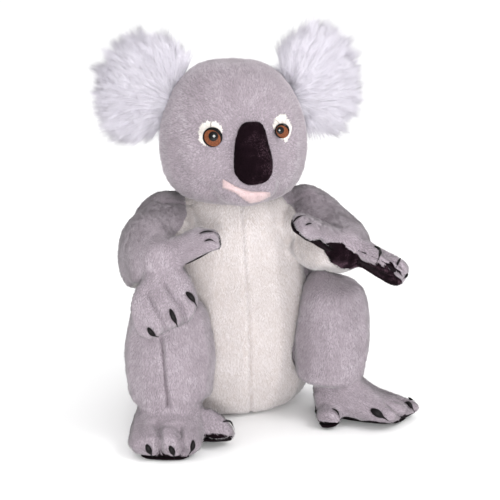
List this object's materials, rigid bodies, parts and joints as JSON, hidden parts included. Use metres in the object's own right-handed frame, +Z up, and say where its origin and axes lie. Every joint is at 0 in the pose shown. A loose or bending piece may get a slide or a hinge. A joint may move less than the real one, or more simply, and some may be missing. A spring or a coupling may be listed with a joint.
{
  "type": "sitting plush koala",
  "caption": "Sitting soft toy koala with a stuffed body, wide tufted ears, a large oval nose and clawed hands and feet, made to be held or stood on a shelf.",
  "frame": {"origin": "on the floor under the seat, on the middle plane, between the shoulders and the belly", "axes": "+Z up, the koala faces -Y, its left side is +X"},
  "size_m": [0.2792, 0.2241, 0.3506],
  "materials": {
    "grey_plush": "short pile",
    "cream_plush": "short pile",
    "ear_fur": "long pile",
    "black_velvet": "velvet",
    "black_claw": "padded felt",
    "pink_plush": "short pile",
    "white_felt": "felt",
    "amber_glass": "polished, moulded",
    "washer_white": "moulded",
    "stuffing": "loose polyester fibre",
    "pellet_cloth": "plain woven"
  },
  "bodies": {
    "torso": {"torso_back_panel": "grey_plush", "belly_right_panel": "cream_plush", "belly_left_panel": "cream_plush", "torso_stuffing": "stuffing", "seat_pellet_bag": "pellet_cloth"},
    "head": {"face_panel": "grey_plush", "head_back_panel": "grey_plush", "head_stuffing": "stuffing", "nose": "black_velvet", "mouth_patch": "pink_plush", "right_eye_patch": "white_felt", "right_eye": "amber_glass", "right_eye_washer": "washer_white", "left_eye_patch": "white_felt", "left_eye": "amber_glass", "left_eye_washer": "washer_white"},
    "right_ear": {"right_ear": "ear_fur"},
    "right_arm": {"right_arm": "grey_plush"},
    "right_hand": {"right_thumb_lobe": "grey_plush", "right_thumb_pad": "black_velvet", "right_thumb_claw_1": "black_claw", "right_thumb_claw_2": "black_claw", "right_finger_lobe": "grey_plush", "right_finger_pad": "black_velvet", "right_finger_claw_1": "black_claw", "right_finger_claw_2": "black_claw", "right_finger_claw_3": "black_claw"},
    "right_leg": {"right_leg": "grey_plush"},
    "right_foot": {"right_foot": "grey_plush", "right_sole_pad": "black_velvet", "right_big_toe": "grey_plush", "right_big_toe_pad": "black_velvet", "right_toe_claw_1": "black_claw", "right_toe_claw_2": "black_claw", "right_toe_claw_3": "black_claw", "right_big_toe_claw": "black_claw"},
    "left_ear": {"left_ear": "ear_fur"},
    "left_arm": {"left_arm": "grey_plush"},
    "left_hand": {"left_thumb_lobe": "grey_plush", "left_thumb_pad": "black_velvet", "left_thumb_claw_1": "black_claw", "left_thumb_claw_2": "black_claw", "left_finger_lobe": "grey_plush", "left_finger_pad": "black_velvet", "left_finger_claw_1": "black_claw", "left_finger_claw_2": "black_claw", "left_finger_claw_3": "black_claw"},
    "left_leg": {"left_leg": "grey_plush"},
    "left_foot": {"left_foot": "grey_plush", "left_sole_pad": "black_velvet", "left_big_toe": "grey_plush", "left_big_toe_pad": "black_velvet", "left_toe_claw_1": "black_claw", "left_toe_claw_2": "black_claw", "left_toe_claw_3": "black_claw", "left_big_toe_claw": "black_claw"}
  },
  "joints": [
    {"name": "neck", "type": "hinge", "parent": "torso", "child": "head", "pos_m": [0, 0, 0.203], "axis": [0, 0, 1], "range_deg": [-10, 10], "stiffness_Nm_per_rad": 0.15},
    {"name": "right_ear_seam", "type": "hinge", "parent": "head", "child": "right_ear", "pos_m": [-0.057, -0.01, 0.28501], "axis": [0.4695, 0, 0.8829], "range_deg": [-10, 10], "stiffness_Nm_per_rad": 0.02},
    {"name": "right_shoulder", "type": "hinge", "parent": "torso", "child": "right_arm", "pos_m": [-0.058, -0.005, 0.183], "axis": [-0.866, 0, -0.5], "range_deg": [0, 15], "stiffness_Nm_per_rad": 0.08},
    {"name": "right_wrist", "type": "hinge", "parent": "right_arm", "child": "right_hand", "pos_m": [-0.08, -0.098, 0.169], "axis": [-1, 0, 0], "range_deg": [0, 15], "stiffness_Nm_per_rad": 0.03},
    {"name": "right_hip", "type": "hinge", "parent": "torso", "child": "right_leg", "pos_m": [-0.06, -0.032, 0.064], "axis": [0, 0, -1], "range_deg": [0, 15], "stiffness_Nm_per_rad": 0.15},
    {"name": "right_ankle", "type": "hinge", "parent": "right_leg", "child": "right_foot", "pos_m": [-0.0705, -0.07607, 0.036], "axis": [0, 0, 1], "range_deg": [-12, 12], "stiffness_Nm_per_rad": 0.04},
    {"name": "left_ear_seam", "type": "hinge", "parent": "head", "child": "left_ear", "pos_m": [0.057, -0.01, 0.28501], "axis": [-0.4695, 0, 0.8829], "range_deg": [-10, 10], "stiffness_Nm_per_rad": 0.02},
    {"name": "left_shoulder", "type": "hinge", "parent": "torso", "child": "left_arm", "pos_m": [0.058, -0.005, 0.183], "axis": [-0.866, 0, 0.5], "range_deg": [0, 15], "stiffness_Nm_per_rad": 0.08},
    {"name": "left_wrist", "type": "hinge", "parent": "left_arm", "child": "left_hand", "pos_m": [0.078, -0.097, 0.171], "axis": [-1, 0, 0], "range_deg": [0, 15], "stiffness_Nm_per_rad": 0.03},
    {"name": "left_hip", "type": "hinge", "parent": "torso", "child": "left_leg", "pos_m": [0.06, -0.032, 0.064], "axis": [0, 0, 1], "range_deg": [0, 15], "stiffness_Nm_per_rad": 0.15},
    {"name": "left_ankle", "type": "hinge", "parent": "left_leg", "child": "left_foot", "pos_m": [0.08185, -0.05511, 0.036], "axis": [0, 0, 1], "range_deg": [-12, 12], "stiffness_Nm_per_rad": 0.04}
  ]
}
